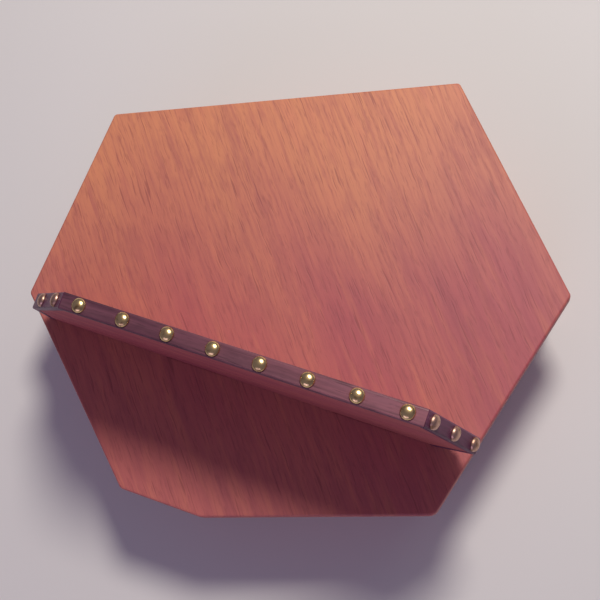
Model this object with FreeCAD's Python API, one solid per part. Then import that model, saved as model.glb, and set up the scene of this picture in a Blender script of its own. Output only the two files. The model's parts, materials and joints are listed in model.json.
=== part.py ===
"""Hexagonal wooden puzzle box with an upright, stud-edged lock fin on its lid.

Origin: centre of the footprint, on the surface the box stands on.
+X is the long way across the lid, +Z is up.  Millimetres.

Sliding the fin along the lid moves a keyhole bar under the lid.  At rest the bar's
round holes stand over the heads of two posts, so the lid lifts off.  Slid along,
its narrow slots catch the post necks below the heads and hold the lid down.
"""
import FreeCAD, Part
import math
import os

# --- driving dimensions ---------------------------------------------------------
# lid outline, anticlockwise from the front right corner
LID_CORNERS = [(63.2, -97.4), (124.4, -4.9), (80.0, 97.4), (-85.7, 94.8),
               (-124.4, 7.6), (-76.1, -84.4), (-38.7, -97.4)]
WALL_NAMES = ["wall_right_front", "wall_right_back", "wall_back", "wall_left_back",
              "wall_left_front", "wall_corner", "wall_front"]
LID_OVERHANG = 7.0
WALL_THICKNESS = 9.0
FOOT_HEIGHT = 3.0
BASE_THICKNESS = 6.0
WALL_HEIGHT = 37.7
LID_THICKNESS = 8.0
LID_CORNER_RADII = [5.0, 2.2, 2.2, 2.2, 2.8, 3.5, 3.5]
EDGE_ROUND = 0.8
GAP = 0.3                      # between bodies that move past each other

FIN_CENTRE = (-6.5, -39.5)     # below the middle of the fin's top edge, in plan
FIN_ANGLE = -19.54             # degrees, from +X
FIN_HALF_LENGTH = 77.5         # of its top edge, and of its foot on the right
FIN_LEFT_HEIGHT = 68.0
FIN_RIGHT_HEIGHT = 73.4
LEFT_TIP = (32.5, 25.0)        # how far past the top edge's end, and how high
RIGHT_TIP = (18.0, 25.0)
FOOT_REACH = 34.5              # foot past the top edge's left end
BAND_WIDTH = 7.2
BAND_THICKNESS = 3.0
FIN_THICKNESS = 6.7
FIN_TRAVEL = 8.0

STUD_PITCH = 19.9
STUD_COUNT = 8                 # on the top edge
FIRST_STUD = 8.4               # from the top edge's left end
RIGHT_STUDS = (6.0, 26.0, 46.0)    # down the right edge from its upper end
LEFT_STUDS = (9.5, 36.0)       # down the left edge from its upper end
LOWER_STUD = 13.0              # up each lower edge from the foot
STUD_RADIUS = 3.05
STUD_HEIGHT = 2.2
STUD_SHANK_RADIUS = 0.7
STUD_SHANK_LENGTH = 2.6

TENON_LENGTH = 20.0
TENON_THICKNESS = 5.0
TENON_OFFSET = 40.0            # tenon centres from the fin's middle
BAR_THICKNESS = 6.0
BAR_WIDTH = 16.0
BAR_HALF_LENGTH = 56.0
BAR_CORNER_RADIUS = 3.0
BAR_DROP = 4.0                 # air between the lid and the bar
POST_OFFSET = 14.0             # posts from the fin's middle
POST_NECK_RADIUS = 2.0
POST_HEAD_RADIUS = 4.0
POST_HEAD_HEIGHT = 2.5
KEYHOLE_RADIUS = 5.0
KEYSLOT_RADIUS = 2.5
POST_DEPTH = 10.0
POST_AIR = 1.0                 # post tops below the lid
BORE_CLEARANCE = 0.05

DIVIDER_THICKNESS = 10.0
CROSS_THICKNESS = 6.0
CROSS_X = 8.0
DIVIDER_DROP = 20.0            # divider tops below the lid's top
LINING_THICKNESS = 2.0
LINING_GAP = 0.5
BATTEN_DEPTH = 8.0
BATTEN_WIDTH = 11.0
BATTEN_CLEARANCE = 0.6
BACK_BATTEN = (-62.0, 62.0)    # along X
FRONT_BATTEN = (-37.0, 36.0)
BATTEN_SCREW_PLACES = (0.15, 0.5, 0.85)    # as parts of its length

FOOT_RADIUS = 8.0
FOOT_INSET = 24.0
FOOT_COUNT = 6                 # the clipped front corner has one foot, not two
FOOT_SCREW_RECESS = 0.6
FOOT_SCREW_LENGTH = 7.0
SPLINE_THICKNESS = 1.6
SPLINE_REACH = 13.0
SPLINE_HEIGHTS = (12.0, 26.0)  # above the base board

SCREW_HEAD_RADIUS = 3.0
SCREW_HEAD_DEPTH = 1.8
SCREW_RADIUS = 1.4
BASE_SCREW_LENGTH = 20.0
BATTEN_SCREW_LENGTH = 13.0
BAR_SCREW_LENGTH = 15.0
BAR_SCREW_SHIFT = 5.0          # to each side of a tenon's middle
SHORT_WALL = 50.0              # a wall shorter than this has one base screw
FAR = 200.0                    # longer than any distance across the box
OVERCUT = 1.0                  # how far a cutting shape stands out of the piece
NEAR = 0.01                    # closer than this counts as touching or flat

# --- levels ---------------------------------------------------------------------
BASE_BOTTOM = FOOT_HEIGHT
BASE_TOP = BASE_BOTTOM + BASE_THICKNESS
WALL_TOP = BASE_TOP + WALL_HEIGHT
LID_BOTTOM = WALL_TOP + GAP
LID_TOP = LID_BOTTOM + LID_THICKNESS
BAR_TOP = LID_BOTTOM - BAR_DROP
BAR_BOTTOM = BAR_TOP - BAR_THICKNESS
DIVIDER_TOP = LID_TOP - DIVIDER_DROP
UP = FreeCAD.Vector(0, 0, 1)
ACROSS = FreeCAD.Vector(0, 1, 0)


def save(name, *solids):
    """Write one sub-part: a single solid, or a group of separate solids."""
    shape = solids[0] if len(solids) == 1 else Part.makeCompound(list(solids))
    shape.exportStep("parts/%s.step" % name)


def vector(x, y, z=0.0):
    return FreeCAD.Vector(x, y, z)


def prism(corners, bottom, height):
    """Upright prism over a plan outline."""
    points = [vector(x, y, bottom) for x, y in corners]
    face = Part.Face(Part.makePolygon(points + points[:1]))
    return face.extrude(UP * height)


def slab(corners, thickness):
    """Plate standing on edge: outline in X and Z, centred on Y = 0."""
    points = [vector(x, -thickness / 2, z) for x, z in corners]
    face = Part.Face(Part.makePolygon(points + points[:1]))
    return face.extrude(ACROSS * thickness)


def block(low, high):
    """Box between two opposite corners."""
    size = high - low
    return Part.makeBox(size.x, size.y, size.z, low)


def inset(corners, distance):
    """Move every side of an anticlockwise outline inwards.

    One distance for all sides, or one for each.
    """
    count = len(corners)
    distances = distance if isinstance(distance, list) else [distance] * count
    sides = []
    for i in range(count):
        (x0, y0), (x1, y1) = corners[i], corners[(i + 1) % count]
        length = math.hypot(x1 - x0, y1 - y0)
        along = ((x1 - x0) / length, (y1 - y0) / length)
        start = (x0 - along[1] * distances[i], y0 + along[0] * distances[i])
        sides.append((start, along))
    moved = []
    for i in range(count):
        (px, py), (ax, ay) = sides[i - 1]
        (qx, qy), (bx, by) = sides[i]
        step = ((qx - px) * by - (qy - py) * bx) / (ax * by - ay * bx)
        moved.append((px + ax * step, py + ay * step))
    return moved


def place_fin(shape):
    """Carry a shape from the fin's own frame to its place on the lid."""
    moved = shape.copy()
    moved.rotate(vector(0, 0), UP, FIN_ANGLE)
    moved.translate(vector(FIN_CENTRE[0], FIN_CENTRE[1], LID_TOP))
    return moved


def round_edges(solid, radius, wanted):
    edges = [edge for edge in solid.Edges if wanted(edge)]
    return solid.makeFillet(radius, edges)


def is_upright(edge):
    box = edge.BoundBox
    return box.ZLength > max(box.XLength, box.YLength) and len(edge.Vertexes) == 2


def screw(x, y, bottom, length):
    """Countersunk screw driven upwards, its head flush at the bottom."""
    head = Part.makeCone(SCREW_HEAD_RADIUS, SCREW_RADIUS, SCREW_HEAD_DEPTH, vector(x, y, bottom))
    shank = Part.makeCylinder(SCREW_RADIUS, length, vector(x, y, bottom))
    return head.fuse(shank).removeSplitter()


def cut_all(shape, tools):
    for tool in tools:
        shape = shape.cut(tool)
    return shape


# --- box ------------------------------------------------------------------------
def make_walls():
    outer = inset(LID_CORNERS, LID_OVERHANG)
    inner = inset(LID_CORNERS, LID_OVERHANG + WALL_THICKNESS)
    count = len(outer)
    walls = []
    for i in range(count):
        j = (i + 1) % count
        walls.append(prism([outer[i], outer[j], inner[j], inner[i]], BASE_TOP, WALL_HEIGHT))
    return walls


def make_splines(walls):
    """Thin keys let in across every outer corner of the walls."""
    outer = inset(LID_CORNERS, LID_OVERHANG)
    splines = []
    for i, (x, y) in enumerate(outer):
        pair = [walls[i - 1], walls[i]]
        for height in SPLINE_HEIGHTS:
            bottom = vector(x, y, BASE_TOP + height)
            disc = Part.makeCylinder(SPLINE_REACH, SPLINE_THICKNESS, bottom)
            both = disc.common(pair[0]).fuse(disc.common(pair[1])).removeSplitter()
            splines.append(both.Solids[0])
    return splines


def make_base_screws():
    """Screws up through the base board into the middle of each wall's thickness."""
    centre = inset(LID_CORNERS, LID_OVERHANG + WALL_THICKNESS / 2)
    screws = []
    for i in range(len(centre)):
        (x0, y0), (x1, y1) = centre[i], centre[(i + 1) % len(centre)]
        is_short = math.hypot(x1 - x0, y1 - y0) < SHORT_WALL
        for part in ((0.5,) if is_short else (0.25, 0.75)):
            x = x0 + (x1 - x0) * part
            y = y0 + (y1 - y0) * part
            screws.append(screw(x, y, BASE_BOTTOM, BASE_SCREW_LENGTH))
    return screws


def make_feet():
    """A round pad and its recessed screw near each main corner."""
    feet, screws = [], []
    for x, y in inset(LID_CORNERS, FOOT_INSET)[:FOOT_COUNT]:
        foot_screw = screw(x, y, FOOT_SCREW_RECESS, FOOT_SCREW_LENGTH)
        access = Part.makeCylinder(SCREW_HEAD_RADIUS, FOOT_SCREW_RECESS, vector(x, y))
        foot = Part.makeCylinder(FOOT_RADIUS, FOOT_HEIGHT, vector(x, y))
        feet.append(cut_all(foot, [foot_screw, access]))
        screws.append(foot_screw)
    return feet, screws


def fin_strip(half_width, x0, x1, bottom, height):
    """Upright strip in the fin's direction, below the fin."""
    strip = block(vector(x0, -half_width, 0), vector(x1, half_width, height))
    strip = place_fin(strip)
    strip.translate(vector(0, 0, bottom - LID_TOP))
    return strip


def cross_strip(half_thickness, height):
    """Upright strip along Y, from the long divider's middle back past the rear wall."""
    low = vector(CROSS_X - half_thickness, -FAR, BASE_TOP)
    high = vector(CROSS_X + half_thickness, FAR, BASE_TOP + height)
    behind = block(vector(-FAR, 0, BASE_TOP - LID_TOP), vector(FAR, FAR, WALL_TOP - LID_TOP))
    return block(low, high).common(place_fin(behind))


def make_dividers():
    """A long divider under the fin and a cross divider behind it."""
    room = prism(inset(LID_CORNERS, LID_OVERHANG + WALL_THICKNESS), BASE_TOP, WALL_HEIGHT)
    height = DIVIDER_TOP - BASE_TOP
    long_divider = room.common(fin_strip(DIVIDER_THICKNESS / 2, -FAR, FAR, BASE_TOP, height))
    cross = room.common(cross_strip(CROSS_THICKNESS / 2, height)).cut(long_divider)
    return long_divider, cross


def make_linings():
    """Thin wooden floors: front, back left and back right compartments."""
    room = prism(inset(LID_CORNERS, LID_OVERHANG + WALL_THICKNESS + LINING_GAP),
                 BASE_TOP, LINING_THICKNESS)
    long_gap = fin_strip(DIVIDER_THICKNESS / 2 + LINING_GAP, -FAR, FAR, BASE_TOP, LINING_THICKNESS)
    cross_gap = cross_strip(CROSS_THICKNESS / 2 + LINING_GAP, LINING_THICKNESS)
    pieces = room.cut(long_gap).cut(cross_gap).Solids
    pieces.sort(key=lambda solid: solid.CenterOfMass.y)
    back = sorted(pieces[1:], key=lambda solid: solid.CenterOfMass.x)
    return pieces[0], back[0], back[1]


def make_posts():
    """Headed posts on the long divider that the keyhole bar locks on to."""
    posts = []
    for side in (-1, 1):
        foot = vector(side * POST_OFFSET, 0, DIVIDER_TOP - POST_DEPTH - LID_TOP)
        head_top = LID_BOTTOM - POST_AIR - LID_TOP
        neck_length = head_top - foot.z
        neck = Part.makeCylinder(POST_NECK_RADIUS, neck_length, foot)
        head_foot = vector(foot.x, 0, head_top - POST_HEAD_HEIGHT)
        head = Part.makeCylinder(POST_HEAD_RADIUS, POST_HEAD_HEIGHT, head_foot)
        post = neck.fuse(head).removeSplitter()
        posts.append(place_fin(post))
    return posts


def make_post_bores():
    bores = []
    for side in (-1, 1):
        foot = vector(side * POST_OFFSET, 0, DIVIDER_TOP - POST_DEPTH - LID_TOP)
        bores.append(place_fin(Part.makeCylinder(POST_NECK_RADIUS + BORE_CLEARANCE, POST_DEPTH, foot)))
    return bores


# --- lid ------------------------------------------------------------------------
def make_lid_board():
    board = prism(LID_CORNERS, LID_BOTTOM, LID_THICKNESS)
    for (x, y), radius in zip(LID_CORNERS, LID_CORNER_RADII):
        corner = Part.Vertex(x, y, LID_TOP)
        board = round_edges(board, radius, lambda edge: edge.distToShape(corner)[0] < NEAR
                            and is_upright(edge))
    board = round_edges(board, EDGE_ROUND, lambda edge: edge.BoundBox.ZLength < NEAR)
    slots = []
    for side in (-1, 1):
        start = side * TENON_OFFSET - TENON_LENGTH / 2 - GAP
        end = side * TENON_OFFSET + TENON_LENGTH / 2 + FIN_TRAVEL + GAP
        slots.append(fin_strip(TENON_THICKNESS / 2 + GAP, start, end,
                               LID_BOTTOM - OVERCUT, LID_THICKNESS + 2 * OVERCUT))
    return cut_all(board, slots)


def make_batten(ends, low_y):
    """Strip under the lid, along X, with the screws that hold it."""
    low = vector(ends[0], low_y, LID_BOTTOM - BATTEN_DEPTH)
    high = vector(ends[1], low_y + BATTEN_WIDTH, LID_BOTTOM)
    screws = []
    for part in BATTEN_SCREW_PLACES:
        x = ends[0] + (ends[1] - ends[0]) * part
        screws.append(screw(x, low_y + BATTEN_WIDTH / 2, low.z, BATTEN_SCREW_LENGTH))
    return block(low, high), screws


def make_battens():
    """Two battens that locate the lid between the front and back walls."""
    inner = inset(LID_CORNERS, LID_OVERHANG + WALL_THICKNESS + BATTEN_CLEARANCE)
    back_y = min(inner[2][1], inner[3][1])
    front_y = min(y for x, y in inner)
    back, back_screws = make_batten(BACK_BATTEN, back_y - BATTEN_WIDTH)
    front, front_screws = make_batten(FRONT_BATTEN, front_y)
    return back, front, back_screws + front_screws


# --- fin ------------------------------------------------------------------------
def fin_outline():
    """Fin in its own frame: X along, Z above the lid; anticlockwise from the foot."""
    end = FIN_HALF_LENGTH
    return [(-end - FOOT_REACH, GAP), (end, GAP), (end + RIGHT_TIP[0], RIGHT_TIP[1]),
            (end, FIN_RIGHT_HEIGHT), (-end, FIN_LEFT_HEIGHT), (-end - LEFT_TIP[0], LEFT_TIP[1])]


def make_fin_board():
    board = slab(inset(fin_outline(), [0.0] + [BAND_THICKNESS] * 5), FIN_THICKNESS)
    for side in (-1, 1):
        x = side * TENON_OFFSET
        low = vector(x - TENON_LENGTH / 2, -TENON_THICKNESS / 2, BAR_TOP - LID_TOP)
        high = vector(x + TENON_LENGTH / 2, TENON_THICKNESS / 2, GAP)
        board = board.fuse(block(low, high))
    return board.removeSplitter()


def make_bands():
    """Strips along every edge of the fin except its foot, mitred where they meet."""
    outer = fin_outline()
    inner = inset(outer, [0.0] + [BAND_THICKNESS] * 5)
    names = [None, "band_right_lower", "band_right_upper", "band_top",
             "band_left_upper", "band_left_lower"]
    bands = {}
    for i in range(1, 6):
        j = (i + 1) % 6
        bands[names[i]] = slab([outer[i], outer[j], inner[j], inner[i]], BAND_WIDTH)
    return bands


def stud_at(start, end, distance):
    """Dome-headed stud on an edge of the fin, a distance along it."""
    length = math.hypot(end[0] - start[0], end[1] - start[1])
    along = ((end[0] - start[0]) / length, (end[1] - start[1]) / length)
    outward = vector(along[1], 0, -along[0])
    foot = vector(start[0] + along[0] * distance, 0, start[1] + along[1] * distance)
    ball_radius = (STUD_RADIUS ** 2 + STUD_HEIGHT ** 2) / (2 * STUD_HEIGHT)
    ball = Part.makeSphere(ball_radius, foot - outward * (ball_radius - STUD_HEIGHT))
    around = Part.makeCylinder(STUD_RADIUS + OVERCUT, STUD_HEIGHT + OVERCUT, foot, outward)
    head = ball.common(around)
    shank = Part.makeCylinder(STUD_SHANK_RADIUS, STUD_SHANK_LENGTH, foot, outward * -1)
    return head.fuse(shank).removeSplitter()


def make_studs():
    foot_left, foot_right, tip_right, top_right, top_left, tip_left = fin_outline()
    top = math.dist(top_right, top_left)
    return {
        "band_top": [stud_at(top_right, top_left, top - FIRST_STUD - STUD_PITCH * i)
                     for i in range(STUD_COUNT)],
        "band_right_upper": [stud_at(tip_right, top_right, math.dist(tip_right, top_right) - place)
                             for place in RIGHT_STUDS],
        "band_left_upper": [stud_at(top_left, tip_left, place) for place in LEFT_STUDS],
        "band_right_lower": [stud_at(foot_right, tip_right, LOWER_STUD)],
        "band_left_lower": [stud_at(tip_left, foot_left, math.dist(tip_left, foot_left) - LOWER_STUD)],
    }


def make_lock_bar():
    half = BAR_WIDTH / 2
    low = vector(-BAR_HALF_LENGTH, -half, BAR_BOTTOM - LID_TOP)
    high = vector(BAR_HALF_LENGTH, half, BAR_TOP - LID_TOP)
    bar = round_edges(block(low, high), BAR_CORNER_RADIUS, is_upright)
    for side in (-1, 1):
        x = side * POST_OFFSET
        hole = Part.makeCylinder(KEYHOLE_RADIUS, BAR_THICKNESS, vector(x, 0, low.z))
        end_x = x - FIN_TRAVEL
        slot = Part.makeCylinder(KEYSLOT_RADIUS, BAR_THICKNESS, vector(end_x, 0, low.z))
        neck = block(vector(end_x, -KEYSLOT_RADIUS, low.z), vector(x, KEYSLOT_RADIUS, high.z))
        bar = cut_all(bar, [hole, slot, neck])
    return bar


def make_bar_screws():
    bottom = BAR_BOTTOM - LID_TOP
    screws = []
    for side in (-1, 1):
        for shift in (-BAR_SCREW_SHIFT, BAR_SCREW_SHIFT):
            screws.append(screw(side * TENON_OFFSET + shift, 0, bottom, BAR_SCREW_LENGTH))
    return screws


# --- build ----------------------------------------------------------------------
def build_box():
    walls = make_walls()
    splines = make_splines(walls)
    base_screws = make_base_screws()
    feet, foot_screws = make_feet()
    long_divider, cross_divider = make_dividers()

    base = prism(inset(LID_CORNERS, LID_OVERHANG), BASE_BOTTOM, BASE_THICKNESS)
    save("base_board", cut_all(base, base_screws + foot_screws))
    for name, wall in zip(WALL_NAMES, walls):
        save(name, cut_all(wall, splines + base_screws))
    save("corner_splines", *splines)
    save("base_screws", *base_screws)
    save("foot_pads", *feet)
    save("foot_screws", *foot_screws)
    save("divider_long", cut_all(long_divider, make_post_bores()))
    save("divider_cross", cross_divider)
    save("lock_posts", *make_posts())
    front, back_left, back_right = make_linings()
    save("lining_front", front)
    save("lining_back_left", back_left)
    save("lining_back_right", back_right)


def build_lid():
    back, front, screws = make_battens()
    save("lid_board", cut_all(make_lid_board(), screws))
    save("lid_batten_back", cut_all(back, screws))
    save("lid_batten_front", cut_all(front, screws))
    save("batten_screws", *screws)


def build_fin():
    bar_screws = make_bar_screws()
    studs = make_studs()
    save("fin_board", place_fin(cut_all(make_fin_board(), bar_screws)))
    for name, band in make_bands().items():
        save(name, place_fin(cut_all(band, studs[name])))
        save(name.replace("band", "studs"), *[place_fin(stud) for stud in studs[name]])
    save("lock_bar", place_fin(cut_all(make_lock_bar(), bar_screws)))
    save("bar_screws", *[place_fin(one) for one in bar_screws])


os.makedirs("parts", exist_ok=True)
build_box()
build_lid()
build_fin()
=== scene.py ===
"""Looks of the hexagonal puzzle box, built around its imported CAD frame.  Metres."""
import bmesh
import bpy
import json
import math
from collections import namedtuple
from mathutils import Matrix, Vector


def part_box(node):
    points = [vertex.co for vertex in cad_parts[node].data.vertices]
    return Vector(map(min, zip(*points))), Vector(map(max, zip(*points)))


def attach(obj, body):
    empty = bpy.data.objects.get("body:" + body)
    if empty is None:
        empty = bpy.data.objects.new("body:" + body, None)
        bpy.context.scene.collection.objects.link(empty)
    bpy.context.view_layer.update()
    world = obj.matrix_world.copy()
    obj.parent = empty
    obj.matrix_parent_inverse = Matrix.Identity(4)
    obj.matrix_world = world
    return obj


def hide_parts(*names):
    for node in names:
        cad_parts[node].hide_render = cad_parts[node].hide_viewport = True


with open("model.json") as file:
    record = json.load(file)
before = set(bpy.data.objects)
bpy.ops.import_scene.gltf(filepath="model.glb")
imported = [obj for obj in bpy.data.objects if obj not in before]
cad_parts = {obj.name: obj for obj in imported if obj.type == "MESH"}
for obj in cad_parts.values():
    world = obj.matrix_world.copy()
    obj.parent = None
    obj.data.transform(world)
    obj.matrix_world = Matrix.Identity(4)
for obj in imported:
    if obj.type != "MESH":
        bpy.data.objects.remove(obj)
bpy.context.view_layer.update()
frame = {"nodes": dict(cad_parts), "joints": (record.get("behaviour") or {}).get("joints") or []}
MM = 0.001

# --- places taken from the frame --------------------------------------------------
LID_LOW, LID_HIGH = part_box("lid_board")
TOP_LOW, TOP_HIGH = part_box("band_top")
SLIDE = next(joint for joint in frame["joints"] if joint["name"] == "fin_slide")
ALONG = Vector(SLIDE["axis"]).normalized()     # the fin's own length
UP = Vector((0, 0, 1))
ACROSS = UP.cross(ALONG)
FIN_FOOT = Vector(((TOP_LOW[0] + TOP_HIGH[0]) / 2, (TOP_LOW[1] + TOP_HIGH[1]) / 2, LID_HIGH[2]))

# --- the fin, as in the CAD -------------------------------------------------------
FIN_HALF_LENGTH = 77.5 * MM
FIN_LEFT_HEIGHT = 68 * MM
FIN_RIGHT_HEIGHT = 73.4 * MM
FIN_TRAVEL = 8 * MM
GAP = 0.3 * MM                # between bodies that move past each other
FOOT_REACH = 34.5 * MM        # how far the foot goes on past the top edge's left end
LEFT_TIP = (32.5 * MM, 25 * MM)
RIGHT_TIP = (18 * MM, 25 * MM)
BAND_WIDTH = 7.2 * MM
BAND_THICKNESS = 3 * MM
TENON_LENGTH = 20 * MM
TENON_THICKNESS = 5 * MM
TENON_OFFSET = 40 * MM        # tenon centres from the fin's middle
STUD_PITCH = 19.9 * MM
STUD_COUNT = 8
FIRST_STUD = 8.4 * MM
RIGHT_STUDS = (6 * MM, 26 * MM, 46 * MM)
LEFT_STUDS = (9.5 * MM, 36 * MM)
LOWER_STUD = 13 * MM
STUD_RADIUS = 3.05 * MM
STUD_HEIGHT = 2.2 * MM

# --- fine shape, only in this script ------------------------------------------------
STUD_LIP = 0.25 * MM          # low rim under the dome
STUD_FOOT = 0.97              # radius at the foot, as a part of the full radius
DOME_STEPS = 12
DOME_FULLNESS = 0.9           # below 1 makes the dome fuller than an ellipse
TURNED_STEPS = 40
LID_EDGE = 1.0 * MM
LID_EDGE_STEPS = 4
STRIP_ROUND = 0.9 * MM
STRIP_ROUND_STEPS = 3
END_ROUND = 0.25 * MM
TIP_ROUND = 2.5 * MM
CORNER_ROUNDS = [0, 0, TIP_ROUND, 0, 0, TIP_ROUND]    # in the order of fin_corners
TIP_STEPS = 3
SEAM = 0.12 * MM              # half the open line at a mitre
FLAT_ANGLE = 35.0             # degrees; sharper edges stay sharp
TURNED_ANGLE = 50.0
PLACES = 6                    # decimals of a metre that plan points are rounded to
STRAIGHT = 1e-9               # a turn smaller than this is a straight line
NEAR_AXIS = 1e-7              # a ring smaller than this is a single point


# --- node helpers -------------------------------------------------------------------
def add(tree, kind, settings=None, **inputs):
    """Add a node; inputs are sockets to link or plain values, and i0 is input number 0."""
    node = tree.nodes.new(kind)
    for name, value in (settings or {}).items():
        setattr(node, name, value)
    for name, value in inputs.items():
        key = int(name[1:]) if name[0] == "i" and name[1:].isdigit() else name.replace("_", " ")
        if isinstance(value, bpy.types.NodeSocket):
            tree.links.new(value, node.inputs[key])
        else:
            node.inputs[key].default_value = value
    return node


def calc(tree, operation, first, second=0.0):
    return add(tree, "ShaderNodeMath", {"operation": operation}, i0=first, i1=second).outputs[0]


def dot(tree, vector, direction):
    node = add(tree, "ShaderNodeVectorMath", {"operation": "DOT_PRODUCT"}, i0=vector, i1=direction[:])
    return node.outputs["Value"]


def stretched(tree, axes, across, along):
    """Coordinates stretched along the grain: cells per metre across it and along it."""
    u, v, w = axes
    return add(tree, "ShaderNodeCombineXYZ", None, X=calc(tree, "MULTIPLY", u, across),
               Y=calc(tree, "MULTIPLY", v, across), Z=calc(tree, "MULTIPLY", w, along)).outputs[0]


def scaled(tree, vector, factor):
    node = add(tree, "ShaderNodeVectorMath", {"operation": "SCALE"}, i0=vector, Scale=factor)
    return node.outputs[0]


def noise(tree, vector, detail=2.0, roughness=0.5):
    return add(tree, "ShaderNodeTexNoise", None, Vector=vector, Scale=1.0, Detail=detail,
               Roughness=roughness).outputs["Fac"]


def band(tree, value, low, high, to_low=0.0, to_high=1.0):
    """Smooth step from to_low to to_high while value goes from low to high."""
    return add(tree, "ShaderNodeMapRange", {"interpolation_type": "SMOOTHSTEP"}, Value=value, From_Min=low,
               From_Max=high, To_Min=to_low, To_Max=to_high).outputs[0]


def mix(tree, factor, first, second, kind="MIX"):
    node = add(tree, "ShaderNodeMix", {"data_type": "RGBA", "blend_type": kind})
    for index, value in ((0, factor), (6, first), (7, second)):
        if isinstance(value, bpy.types.NodeSocket):
            tree.links.new(value, node.inputs[index])
        else:
            node.inputs[index].default_value = value
    return node.outputs[2]


def colour(red, green, blue):
    """Linear colour from display values 0 to 255."""
    channels = [c / 255 for c in (red, green, blue)]
    return tuple(c / 12.92 if c <= 0.04045 else ((c + 0.055) / 1.055) ** 2.4 for c in channels) + (1.0,)


def blank_material(name):
    material = bpy.data.materials.new(name)
    material.use_nodes = True
    tree = material.node_tree
    tree.nodes.clear()
    shader = tree.nodes.new("ShaderNodeBsdfPrincipled")
    output = tree.nodes.new("ShaderNodeOutputMaterial")
    tree.links.new(shader.outputs[0], output.inputs[0])
    return material, tree, shader


# A layer of noise: cells per metre across the grain and along it, its detail and
# roughness, the values at which it starts to show and shows in full, and how strongly.
Layer = namedtuple("Layer", "across along detail roughness start full strength")
# Patches and streaks are counted across the grain as parts of the wood's own streak value.
PATCHES = Layer(across=0.4, along=5.0, detail=2.0, roughness=0.5, start=0.36, full=0.64, strength=1.0)
STREAKS = Layer(across=2.0, along=4.0, detail=3.0, roughness=0.55, start=0.45, full=0.7, strength=0.35)
FLAMES = Layer(across=200.0, along=22.0, detail=2.0, roughness=0.5, start=0.45, full=0.75, strength=0.4)
MOTTLE = Layer(across=190.0, along=60.0, detail=3.0, roughness=0.6, start=0.45, full=0.7, strength=0.24)
FIBRES = Layer(across=600.0, along=18.0, detail=3.0, roughness=0.6, start=0.4, full=0.7, strength=0.32)
# The strengths of the pores are parts of the wood's own pores value.
FINE_PORES = Layer(across=1300.0, along=150.0, detail=2.0, roughness=0.55, start=0.52, full=0.72,
                   strength=0.6)
LONG_PORES = Layer(across=1250.0, along=58.0, detail=1.0, roughness=0.4, start=0.63, full=0.74,
                   strength=1.0)
# The grain's sideways wander: cells per metre and metres.
SLOW_WANDER = (9.0, 0.004)
QUICK_WANDER = (90.0, 0.0012)
FADE_WOBBLE = 0.1              # how far the patches push a fade's edge about
FIBRE_ROUGHNESS = 0.12
FIBRE_RELIEF = 0.35
RELIEF_STRENGTH = 0.35
RELIEF_DEPTH = 0.00012
COAT_ROUGHNESS = 0.22
NEARLY_UPRIGHT = 0.9


def layer_noise(tree, axes, layer, finer=1.0):
    place = stretched(tree, axes, layer.across * finer, layer.along)
    return noise(tree, place, layer.detail, layer.roughness)


def shown(tree, value, layer, strength=1.0):
    """How much of a layer shows where its noise has this value."""
    return band(tree, value, layer.start, layer.full, 0.0, layer.strength * strength)


def grain_axes(tree, position, grain):
    """Coordinates across, through and along the grain, with a slight sideways wander."""
    grain = Vector(grain).normalized()
    helper = UP if abs(grain.z) < NEARLY_UPRIGHT else Vector((1, 0, 0))
    side = grain.cross(helper).normalized()
    parts = []
    for cells, reach in (SLOW_WANDER, QUICK_WANDER):
        parts.append(calc(tree, "MULTIPLY", noise(tree, scaled(tree, position, cells)), reach))
    wander = calc(tree, "ADD", *parts)
    return (calc(tree, "ADD", dot(tree, position, side), wander),
            dot(tree, position, grain.cross(side)), dot(tree, position, grain))


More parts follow.
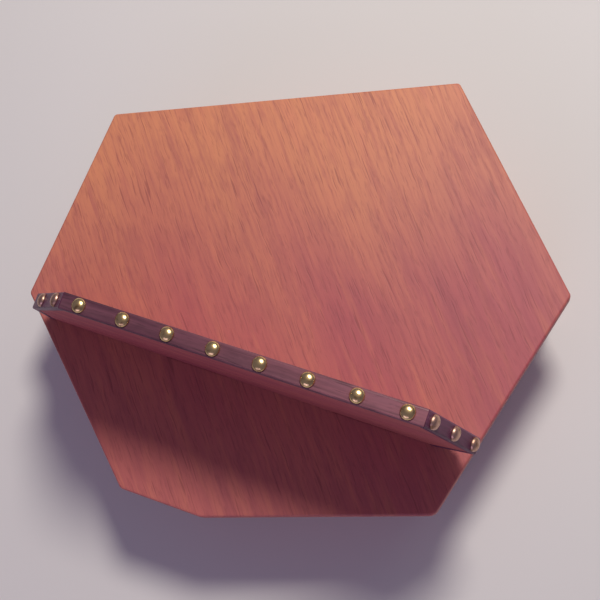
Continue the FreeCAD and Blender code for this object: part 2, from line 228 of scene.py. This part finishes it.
def wood(name, grain, tones, pore_tone, fade=None, pores=0.45, roughness=0.5, coat=0.0, streak=42.0,
         specular=0.5):
    """Straight-grained wood: broad patches, streaks, fibre lines and short dark pores.

    The fade is painted light: an end tone, the direction it comes in along, and where it starts and is
    full.
    pores is how strongly they show, and streak how fine the patches and streaks are.
    """
    material, tree, shader = blank_material(name)
    position = add(tree, "ShaderNodeTexCoord").outputs["Object"]
    axes = grain_axes(tree, position, grain)
    patches = layer_noise(tree, axes, PATCHES, finer=streak)
    streaks = layer_noise(tree, axes, STREAKS, finer=streak)
    flames = layer_noise(tree, axes, FLAMES)
    mottle = layer_noise(tree, axes, MOTTLE)
    fibres = layer_noise(tree, axes, FIBRES)
    fine_pores = layer_noise(tree, axes, FINE_PORES)
    long_pores = layer_noise(tree, axes, LONG_PORES)

    base = mix(tree, shown(tree, patches, PATCHES), tones[0], tones[1])
    base = mix(tree, shown(tree, streaks, STREAKS), base, tones[2])
    # Painted light: a blend towards a lighter tone in one direction.
    if fade:
        end_tone, direction, start, end = fade
        wobble = calc(tree, "MULTIPLY", patches, FADE_WOBBLE)
        uneven = calc(tree, "ADD", dot(tree, position, direction), wobble)
        middle = FADE_WOBBLE / 2
        base = mix(tree, band(tree, uneven, start + middle, end + middle), base, end_tone)
    base = mix(tree, shown(tree, flames, FLAMES), base, tones[3])
    base = mix(tree, shown(tree, mottle, MOTTLE), base, tones[2])
    base = mix(tree, shown(tree, fibres, FIBRES), base, tones[2])
    pore = calc(tree, "MAXIMUM", shown(tree, fine_pores, FINE_PORES, pores),
                shown(tree, long_pores, LONG_PORES, pores))
    tree.links.new(mix(tree, pore, base, pore_tone), shader.inputs["Base Color"])

    rough = calc(tree, "ADD", roughness, calc(tree, "MULTIPLY", fibres, FIBRE_ROUGHNESS))
    tree.links.new(rough, shader.inputs["Roughness"])
    shader.inputs["Specular IOR Level"].default_value = specular
    shader.inputs["Coat Weight"].default_value = coat
    shader.inputs["Coat Roughness"].default_value = COAT_ROUGHNESS
    relief = calc(tree, "SUBTRACT", calc(tree, "MULTIPLY", fibres, FIBRE_RELIEF), pore)
    bump = add(tree, "ShaderNodeBump", None, Strength=RELIEF_STRENGTH, Distance=RELIEF_DEPTH,
               Height=relief)
    tree.links.new(bump.outputs[0], shader.inputs["Normal"])
    return material


BRASS_DULL = colour(150, 116, 84)
BRASS_PATCHES = 380.0          # cells per metre
DULL_ROUGHNESS = 0.15          # added where it is dull


def brass(name, tone, roughness):
    """Polished brass with faint tarnish in patches."""
    material, tree, shader = blank_material(name)
    position = add(tree, "ShaderNodeTexCoord").outputs["Object"]
    patches = noise(tree, scaled(tree, position, BRASS_PATCHES), detail=3.0, roughness=0.6)
    dull = band(tree, patches, low=0.45, high=0.75)
    tree.links.new(mix(tree, dull, tone, BRASS_DULL), shader.inputs["Base Color"])
    rough = calc(tree, "ADD", calc(tree, "MULTIPLY", dull, DULL_ROUGHNESS), roughness)
    tree.links.new(rough, shader.inputs["Roughness"])
    shader.inputs["Metallic"].default_value = 1.0
    return material


# --- geometry helpers -----------------------------------------------------------------
def finish_mesh(name, mesh_data, material, body, *replaced):
    piece = bpy.data.objects.new(name, mesh_data)
    bpy.context.scene.collection.objects.link(piece)
    piece.data.materials.append(material)
    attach(piece, body)
    if replaced:
        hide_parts(*replaced)
    return piece


def smooth(mesh_data, degrees=FLAT_ANGLE):
    for face in mesh_data.polygons:
        face.use_smooth = True
    mesh_data.set_sharp_from_angle(angle=math.radians(degrees))


def turn(a, b, c):
    """Above zero where the way from a through b to c turns left."""
    return (b[0] - a[0]) * (c[1] - b[1]) - (b[1] - a[1]) * (c[0] - b[0])


def convex_outline(points):
    """Anticlockwise convex outline of plan points."""
    points = sorted(set((round(x, PLACES), round(y, PLACES)) for x, y in points))

    def half(ordered):
        chain = []
        for point in ordered:
            while len(chain) > 1 and turn(chain[-2], chain[-1], point) <= STRAIGHT:
                chain.pop()
            chain.append(point)
        return chain[:-1]
    return half(points) + half(points[::-1])


def fin_point(along, across, height):
    """Place in the frame from a place on the fin."""
    return FIN_FOOT + ALONG * along + ACROSS * across + UP * height


def strip_mesh(name, corners, width, outer_count):
    """Edge strip standing in the fin's plane, from its outline.

    The first outer_count corners are on the outside.  The outer edges along the strip get
    the full round and the ends and inner edges a small one.  The edges across the strip
    between the steps of a rounded tip get none.
    """
    small = END_ROUND / STRIP_ROUND
    shape = bmesh.new()
    weights = shape.edges.layers.float.new("bevel_weight_edge")
    front = [shape.verts.new(fin_point(x, -width / 2, z)) for x, z in corners]
    back = [shape.verts.new(fin_point(x, width / 2, z)) for x, z in corners]
    shape.faces.new(front)
    shape.faces.new(back[::-1])
    count = len(corners)
    for i in range(count):
        j = (i + 1) % count
        shape.faces.new((front[j], front[i], back[i], back[j]))
        for side in (front, back):
            outside = j < outer_count and j > i
            shape.edges.get((side[i], side[j]))[weights] = 1.0 if outside else small
        stepped = 0 < i < outer_count - 1
        shape.edges.get((front[i], back[i]))[weights] = 0.0 if stepped else small
    bmesh.ops.recalc_face_normals(shape, faces=shape.faces)
    data = bpy.data.meshes.new(name)
    shape.to_mesh(data)
    shape.free()
    return data


def bevelled(piece, width, segments=STRIP_ROUND_STEPS):
    modifier = piece.modifiers.new("round", "BEVEL")
    modifier.width = width
    modifier.segments = segments
    modifier.limit_method = "WEIGHT"
    modifier.harden_normals = False
    smooth(piece.data)


def turned_mesh(name, profile, foot, axis, steps=TURNED_STEPS):
    """Solid of revolution: profile is (radius, height) from the foot, along axis."""
    axis = axis.normalized()
    first = axis.orthogonal().normalized()
    second = axis.cross(first)
    shape = bmesh.new()
    rings = []
    for radius, height in profile:
        centre = foot + axis * height
        if radius < NEAR_AXIS:
            rings.append([shape.verts.new(centre)])
            continue
        ring = []
        for i in range(steps):
            angle = 2 * math.pi * i / steps
            spoke = first * math.cos(angle) + second * math.sin(angle)
            ring.append(shape.verts.new(centre + spoke * radius))
        rings.append(ring)
    for low, high in zip(rings, rings[1:]):
        for i in range(steps):
            j = (i + 1) % steps
            corners = [low[i % len(low)], low[j % len(low)], high[j % len(high)], high[i % len(high)]]
            unique = list(dict.fromkeys(corners))
            if len(unique) > 2:
                shape.faces.new(unique)
    bmesh.ops.recalc_face_normals(shape, faces=shape.faces)
    data = bpy.data.meshes.new(name)
    shape.to_mesh(data)
    shape.free()
    smooth(data, TURNED_ANGLE)
    return data


# --- camera, light and floor --------------------------------------------------------
CAMERA_LENS = 66.9
CAMERA_SENSOR = 36.0
CAMERA_NEAR = 0.01
CAMERA_PLACE = Vector((95.8 * MM, -115.8 * MM, LID_HIGH[2] + 480 * MM))
CAMERA_TURN = (13.15, 10.635, 0.0)             # degrees

KEY_SIZE = 0.25
KEY_ENERGY = 7.7
KEY_TINT = (1.0, 0.93, 0.86)
KEY_TRAVEL = Vector((-0.24, -0.45, -0.86)).normalized()    # the way its light goes
KEY_DISTANCE = 1.0
SOFT_BOX_SIZE = (0.9, 0.5)
SOFT_BOX_AIM = Vector((0, 0, 0.05))
SOFT_BOXES = (
    ("soft_box_back", (0.55, 0.75, 1.1), 1.2, (1.0, 0.97, 0.94)),
    ("soft_box_front", (-0.4, -0.95, 0.6), 2.2, (0.76, 0.62, 1.0)),
)
STUDIO_TINT = (0.78, 0.7, 1.0, 1.0)
STUDIO_STRENGTH = 0.17

FLOOR_REACH = 1.5                              # from the middle to each side
FLOOR_TINT = (0.72, 0.71, 0.69, 1.0)
FLOOR_ROUGHNESS = 0.9


def make_camera():
    data = bpy.data.cameras.new("camera")
    data.lens = CAMERA_LENS
    data.sensor_width = CAMERA_SENSOR
    data.clip_start = CAMERA_NEAR
    camera = bpy.data.objects.new("camera", data)
    camera.location = CAMERA_PLACE
    camera.rotation_euler = [math.radians(angle) for angle in CAMERA_TURN]
    bpy.context.scene.collection.objects.link(camera)
    bpy.context.scene.camera = camera


def place_light(light, place, aim):
    """Puts a light in the scene at a place, shining along aim."""
    lamp = bpy.data.objects.new(light.name, light)
    lamp.location = place
    lamp.rotation_euler = aim.to_track_quat("-Z", "Y").to_euler()
    bpy.context.scene.collection.objects.link(lamp)


def make_lights():
    key = bpy.data.lights.new("key", "AREA")
    key.shape = "DISK"
    key.size = KEY_SIZE
    key.energy = KEY_ENERGY
    key.color = KEY_TINT
    place_light(key, Vector((0, 0, LID_HIGH[2])) - KEY_TRAVEL * KEY_DISTANCE, KEY_TRAVEL)

    for name, place, energy, tint in SOFT_BOXES:
        soft = bpy.data.lights.new(name, "AREA")
        soft.shape = "RECTANGLE"
        soft.size, soft.size_y = SOFT_BOX_SIZE
        soft.energy = energy
        soft.color = tint
        place_light(soft, Vector(place), SOFT_BOX_AIM - Vector(place))

    world = bpy.data.worlds.new("studio")
    world.use_nodes = True
    background = world.node_tree.nodes["Background"]
    background.inputs["Color"].default_value = STUDIO_TINT
    background.inputs["Strength"].default_value = STUDIO_STRENGTH
    bpy.context.scene.world = world
    bpy.context.scene.view_settings.view_transform = "Standard"


def make_floor():
    reach = FLOOR_REACH
    data = bpy.data.meshes.new("floor")
    corners = [(-reach, -reach, 0), (reach, -reach, 0), (reach, reach, 0), (-reach, reach, 0)]
    data.from_pydata(corners, [], [(0, 1, 2, 3)])
    floor = bpy.data.objects.new("floor", data)
    material, _, shader = blank_material("floor_card")
    shader.inputs["Base Color"].default_value = FLOOR_TINT
    shader.inputs["Roughness"].default_value = FLOOR_ROUGHNESS
    data.materials.append(material)
    bpy.context.scene.collection.objects.link(floor)


# --- materials ------------------------------------------------------------------------
PANEL_TONES = (colour(178, 88, 94), colour(188, 102, 96), colour(150, 72, 84), colour(208, 124, 98))
# Painted warm light, laid over the back of the lid.
PANEL_PAINTED_WARM_LIGHT = colour(214, 138, 98)
PANEL_PORE = colour(124, 54, 60)
BAND_TONES = (colour(72, 38, 54), colour(104, 60, 76), colour(50, 26, 38), colour(132, 88, 100))
# Painted light: the band's own wood in lighter, more purple tones on the slanted strips, for the light and
# reflection they catch.
FACET_PAINTED_LIGHT_TONES = (colour(100, 48, 78), colour(118, 62, 92), colour(74, 34, 58), colour(130, 76, 104))
# Painted sheen: the top strip turns paler along its length, for the reflection it catches.
BAND_PAINTED_SHEEN = colour(146, 92, 102)
BAND_PORE = colour(36, 18, 26)
# Unseen wood: dividers, battens, lock bar and floor linings.
PALE_TONES = (colour(206, 168, 124), colour(222, 190, 148), colour(182, 142, 98), colour(228, 196, 152))
PALE_PORE = colour(140, 100, 64)
LID_GRAIN = Vector((0.342, -0.94, 0)).normalized()
# Painted warm light: the lid is painted lighter and warmer towards its back: tone, direction, and where it
# starts and is full.
LID_PAINTED_WARM_LIGHT = (PANEL_PAINTED_WARM_LIGHT, Vector((-0.15, 1, 0)), -0.03, 0.1)
# Painted sheen along the top strip: tone, direction, and where it starts and is full.
TOP_BAND_PAINTED_SHEEN = (BAND_PAINTED_SHEEN, ALONG, -0.08, 0.09)
STUD_BRIGHT = colour(244, 214, 152)
# Painted reflection: the studs on the slanted strips are the same brass, painted a darker pinkish brown
# for the pink wood they reflect.
STUD_PAINTED_DIM_REFLECTION = colour(206, 166, 146)
SCREW_TONE = colour(206, 170, 104)


def long_direction(node):
    """Direction of a node's longest mesh edge."""
    data = frame["nodes"][node].data
    spans = [data.vertices[edge.vertices[1]].co - data.vertices[edge.vertices[0]].co
             for edge in data.edges]
    return max(spans, key=lambda span: span.length)


def paint(node, material):
    piece = frame["nodes"][node]
    if not piece.material_slots:
        piece.data.materials.append(material)
    for slot in piece.material_slots:
        slot.material = material


# --- pieces ---------------------------------------------------------------------------
def slot_outline(side):
    """Plan of one slot in the lid, long enough for its tenon to slide."""
    start = side * TENON_OFFSET - TENON_LENGTH / 2 - GAP
    end = side * TENON_OFFSET + TENON_LENGTH / 2 + FIN_TRAVEL + GAP
    half = TENON_THICKNESS / 2 + GAP
    corners = [(start, -half), (start, half), (end, half), (end, -half)]
    return [fin_point(x, y, 0).xy for x, y in corners]


def make_lid():
    """The lid board, with its edges rounded over and the fin's slots left open."""
    outline = convex_outline([v.co.xy for v in frame["nodes"]["lid_board"].data.vertices])
    curve = bpy.data.curves.new("lid_outline", "CURVE")
    curve.dimensions = "2D"
    curve.fill_mode = "BOTH"
    curve.bevel_depth = LID_EDGE
    curve.bevel_resolution = LID_EDGE_STEPS
    curve.extrude = (LID_HIGH[2] - LID_LOW[2]) / 2 - LID_EDGE
    curve.offset = -LID_EDGE
    for points in (outline, slot_outline(-1), slot_outline(1)):
        spline = curve.splines.new("POLY")
        spline.points.add(len(points) - 1)
        for point, (x, y) in zip(spline.points, points):
            point.co = (x, y, 0, 1)
        spline.use_cyclic_u = True
    holder = bpy.data.objects.new("lid_outline", curve)
    data = bpy.data.meshes.new_from_object(holder)
    bpy.data.objects.remove(holder)
    middle = (LID_HIGH[2] + LID_LOW[2]) / 2
    for vertex in data.vertices:
        vertex.co.z += middle
    smooth(data)
    # The lid's wood, with warm light painted in towards its back.
    material = wood("panel_wood", LID_GRAIN, PANEL_TONES, PANEL_PORE, fade=LID_PAINTED_WARM_LIGHT)
    piece = finish_mesh("lid_panel", data, material, "lid", "lid_board")


def fin_corners():
    """The fin's outline, anticlockwise from the left end of its foot: along and height."""
    end = FIN_HALF_LENGTH
    return [(-end - FOOT_REACH, GAP), (end, GAP), (end + RIGHT_TIP[0], RIGHT_TIP[1]),
            (end, FIN_RIGHT_HEIGHT), (-end, FIN_LEFT_HEIGHT), (-end - LEFT_TIP[0], LEFT_TIP[1])]


def inset(corners, distances):
    """Each side of an anticlockwise outline moved inwards by its own distance."""
    sides = []
    for i, (start, end) in enumerate(zip(corners, corners[1:] + corners[:1])):
        along = (Vector(end) - Vector(start)).normalized()
        sides.append((Vector(start) + Vector((-along.y, along.x)) * distances[i], along))
    moved = []
    for (before, way), (after, turned) in zip(sides[-1:] + sides[:-1], sides):
        crossing = (after.x - before.x) * turned.y - (after.y - before.y) * turned.x
        step = crossing / (way.x * turned.y - way.y * turned.x)
        moved.append((before.x + way.x * step, before.y + way.y * step))
    return moved


def tip_arc(corner, along_side, mitre, radius):
    """Points round a tip, from where the side meets the round to the mitre line."""
    if not radius:
        return [corner]
    sine = (along_side - mitre * along_side.dot(mitre)).length
    centre = corner + mitre * (radius / sine)
    tangent = corner + along_side * (centre - corner).dot(along_side)
    first = tangent - centre
    last = -mitre * radius
    points = []
    for step in range(TIP_STEPS + 1):
        part = first.lerp(last, step / TIP_STEPS)
        points.append(centre + part.normalized() * radius)
    return points


def strip_outline(outer, inner, i):
    """One edge strip's outline, with its outer corners rounded up to the mitres."""
    j = (i + 1) % len(outer)
    start, end = Vector(outer[i]), Vector(outer[j])
    along = (end - start).normalized()
    near = tip_arc(start, along, (Vector(inner[i]) - start).normalized(), CORNER_ROUNDS[i])
    far = tip_arc(end, -along, (Vector(inner[j]) - end).normalized(), CORNER_ROUNDS[j])
    start_half = [point + along * SEAM for point in near[::-1]]
    end_half = [point - along * SEAM for point in far + [Vector(inner[j])]]
    return [tuple(point) for point in start_half + end_half + [Vector(inner[i]) + along * SEAM]]


def make_fin():
    """Edge strips on every side of the fin but its foot."""
    places = ("right_lower", "right_upper", "top", "left_upper", "left_lower")
    outer = fin_corners()
    inner = inset(outer, [0.0] + [BAND_THICKNESS] * len(places))
    for i, place in enumerate(places, start=1):
        name = "band_" + place
        corners = strip_outline(outer, inner, i)
        data = strip_mesh(name, corners, BAND_WIDTH, len(corners) - 2)
        run = Vector(outer[(i + 1) % len(outer)]) - Vector(outer[i])
        along = ALONG * run.x + UP * run.y
        # The top strip gets its painted sheen fade.
        top = place == "top"
        # The slanted strips get the band's wood with painted lighter tones.
        material = wood(name + "_wood", along, BAND_TONES if top else FACET_PAINTED_LIGHT_TONES, BAND_PORE,
                        fade=TOP_BAND_PAINTED_SHEEN if top else None, pores=0.4, roughness=0.46, coat=0.1,
                        streak=300.0, specular=0.25)
        piece = finish_mesh(name + "_strip", data, material, "fin", name)
        bevelled(piece, STRIP_ROUND)


def stud_profile():
    """Half outline of a stud: a short rim, then a dome."""
    profile = [(0.0, 0.0), (STUD_RADIUS * STUD_FOOT, 0.0), (STUD_RADIUS, STUD_LIP / 2)]
    for i in range(1, DOME_STEPS):
        angle = math.pi / 2 * i / DOME_STEPS
        profile.append((STUD_RADIUS * math.cos(angle) ** DOME_FULLNESS,
                        STUD_LIP + (STUD_HEIGHT - STUD_LIP) * math.sin(angle)))
    return profile + [(0.0, STUD_HEIGHT)]


def make_studs():
    """Brass studs along the fin's edges, each standing square to its own edge."""
    bright = brass("stud_brass", STUD_BRIGHT, 0.25)
    # Studs on the slanted strips: the same brass with a painted darker, pinkish reflection and a rougher
    # finish.
    dim_reflection_brass = brass("stud_brass_worn", STUD_PAINTED_DIM_REFLECTION, 0.4)
    foot_left, foot_right, tip_right, top_right, top_left, tip_left = [Vector(c) for c in fin_corners()]
    top_places = [FIRST_STUD + STUD_PITCH * i for i in range(STUD_COUNT)]
    rows = (
        ("top", top_left, top_right, top_places, bright),
        ("right_upper", top_right, tip_right, RIGHT_STUDS, dim_reflection_brass),
        ("left_upper", top_left, tip_left, LEFT_STUDS, dim_reflection_brass),
        ("right_lower", foot_right, tip_right, [LOWER_STUD], dim_reflection_brass),
        ("left_lower", foot_left, tip_left, [LOWER_STUD], dim_reflection_brass),
    )
    profile = stud_profile()
    middle = Vector((0, FIN_LEFT_HEIGHT / 2))
    for row, start, end, places, material in rows:
        along = (end - start).normalized()
        square = Vector((along.y, -along.x))
        if square.dot(start - middle) < 0:
            square = -square
        outward = ALONG * square.x + UP * square.y
        for number, place in enumerate(places):
            spot = start + along * place
            data = turned_mesh("stud", profile, fin_point(spot.x, 0, spot.y), outward)
            name = "stud_%s_%d" % (row, number)
            piece = finish_mesh(name, data, material, "fin", "studs_" + row)


def paint_frame():
    """Gives the CAD nodes that stay their materials."""
    fin_wood = wood("fin_wood", ALONG, PANEL_TONES, PANEL_PORE, roughness=0.7, specular=0.25)
    paint("fin_board", fin_wood)
    for name in ("wall_right_front", "wall_right_back", "wall_back", "wall_left_back",
                 "wall_left_front", "wall_corner", "wall_front"):
        direction = long_direction(name)
        paint(name, wood(name + "_wood", direction, PANEL_TONES, PANEL_PORE))
    paint("base_board", wood("base_wood", (1, 0, 0), PANEL_TONES, PANEL_PORE))
    for name in ("divider_long", "divider_cross", "lid_batten_back", "lid_batten_front", "lock_bar"):
        paint(name, wood(name + "_wood", long_direction(name), PALE_TONES, PALE_PORE, pores=0.4))
    paint("corner_splines", wood("spline_wood", (0, 0, 1), BAND_TONES, BAND_PORE, pores=0.4))
    for name in ("lining_front", "lining_back_left", "lining_back_right"):
        paint(name, wood(name + "_veneer", (1, 0.2, 0), PALE_TONES, PALE_PORE, pores=0.3))
    paint("foot_pads", wood("foot_wood", (0, 1, 0), BAND_TONES, BAND_PORE, pores=0.4))
    metal = brass("screw_metal", SCREW_TONE, 0.3)
    for name in ("base_screws", "batten_screws", "bar_screws", "foot_screws", "lock_posts"):
        paint(name, metal)


make_camera()
make_lights()
make_floor()
make_lid()
make_fin()
make_studs()
paint_frame()
